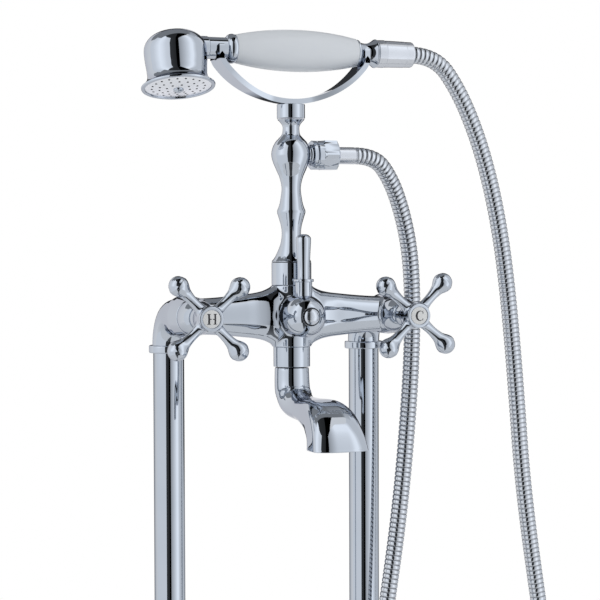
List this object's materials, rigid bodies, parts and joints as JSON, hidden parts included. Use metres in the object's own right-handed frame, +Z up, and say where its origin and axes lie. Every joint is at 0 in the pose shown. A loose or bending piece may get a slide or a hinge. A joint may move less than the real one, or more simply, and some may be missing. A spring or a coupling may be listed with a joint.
{
  "type": "floor standing bath filler",
  "caption": "Traditional bath filler on floor pipes: bridge body with cross handles, diverter lever, swivel spout, and a telephone handset in a cradle with a ribbed hose.",
  "frame": {"origin": "on the floor, midway between the two risers, which is the centre of the four floor bolt holes", "axes": "+X to the right of somebody facing the taps, -Y forwards over the bath, +Z up along the risers"},
  "size_m": [0.3419, 0.1925, 1.0691],
  "materials": {
    "chrome": "polished chrome plate",
    "satin_chrome": "satin chrome plate",
    "brass": "machined",
    "screw_steel": "plain stainless",
    "hose_metal": "polished ribbed sheath",
    "seal_rubber": "moulded rubber",
    "disc_ceramic": "lapped ceramic",
    "porcelain": "satin glazed porcelain",
    "index_enamel": "glossy enamel"
  },
  "bodies": {
    "stand": {"floor_flange_left": "chrome", "floor_flange_right": "chrome", "riser_left": "chrome", "riser_right": "chrome", "inlet_bushes": "brass", "riser_collars": "chrome", "flange_grub_screws": "screw_steel", "elbow_left": "chrome", "elbow_right": "chrome", "riser_sealing_rings": "seal_rubber", "mixer_body": "chrome", "seat_seals": "seal_rubber", "hot_fixed_disc": "disc_ceramic", "cold_fixed_disc": "disc_ceramic", "hot_cartridge": "brass", "cold_cartridge": "brass", "hot_bonnet": "chrome", "cold_bonnet": "chrome", "diverter_sleeve": "brass", "column_lock_ring": "chrome", "column_washer": "seal_rubber", "column": "chrome", "outlet_nipple": "chrome", "hose_union_nut": "chrome", "outlet_washer": "seal_rubber", "hose_ferrule": "chrome", "cradle_collar": "chrome", "cradle": "chrome", "cradle_screw": "chrome", "swivel_nut": "chrome", "shower_hose": "hose_metal"},
    "hot_valve": {"hot_moving_disc": "disc_ceramic", "hot_spindle": "brass", "hot_handle": "chrome", "hot_handle_screw": "screw_steel", "hot_index_button": "index_enamel"},
    "cold_valve": {"cold_moving_disc": "disc_ceramic", "cold_spindle": "brass", "cold_handle": "chrome", "cold_handle_screw": "screw_steel", "cold_index_button": "index_enamel"},
    "diverter": {"diverter_spool": "brass", "diverter_drum": "chrome", "diverter_lever": "chrome", "diverter_screw": "screw_steel", "diverter_cap": "chrome"},
    "swivel_spout": {"spout": "chrome", "spout_retaining_ring": "brass", "spout_sealing_rings": "seal_rubber"},
    "handset": {"spray_head": "chrome", "spray_gasket": "seal_rubber", "spray_plate": "satin_chrome", "spray_screw": "chrome", "handset_neck": "chrome", "front_grip_ring": "chrome", "grip_tube": "brass", "porcelain_grip": "porcelain", "handset_tail": "chrome", "handset_washer": "seal_rubber", "hose_cone_nut": "satin_chrome"}
  },
  "joints": [
    {"name": "hot_handle_turn", "type": "hinge", "parent": "stand", "child": "hot_valve", "pos_m": [-0.075, -0.09, 0.87], "axis": [0, -1, 0], "range_deg": [0, 90]},
    {"name": "cold_handle_turn", "type": "hinge", "parent": "stand", "child": "cold_valve", "pos_m": [0.075, -0.09, 0.87], "axis": [0, -1, 0], "range_deg": [-90, 0]},
    {"name": "diverter_turn", "type": "hinge", "parent": "stand", "child": "diverter", "pos_m": [0, -0.074, 0.87], "axis": [0, 1, 0], "range_deg": [0, 90]},
    {"name": "spout_swivel", "type": "hinge", "parent": "stand", "child": "swivel_spout", "pos_m": [0, -0.05, 0.84], "axis": [0, 0, 1], "range_deg": [-90, 90]},
    {"name": "handset_lift", "type": "slide", "parent": "stand", "child": "handset", "axis": [0, 0, 1], "range_m": [0, 0.04]}
  ]
}
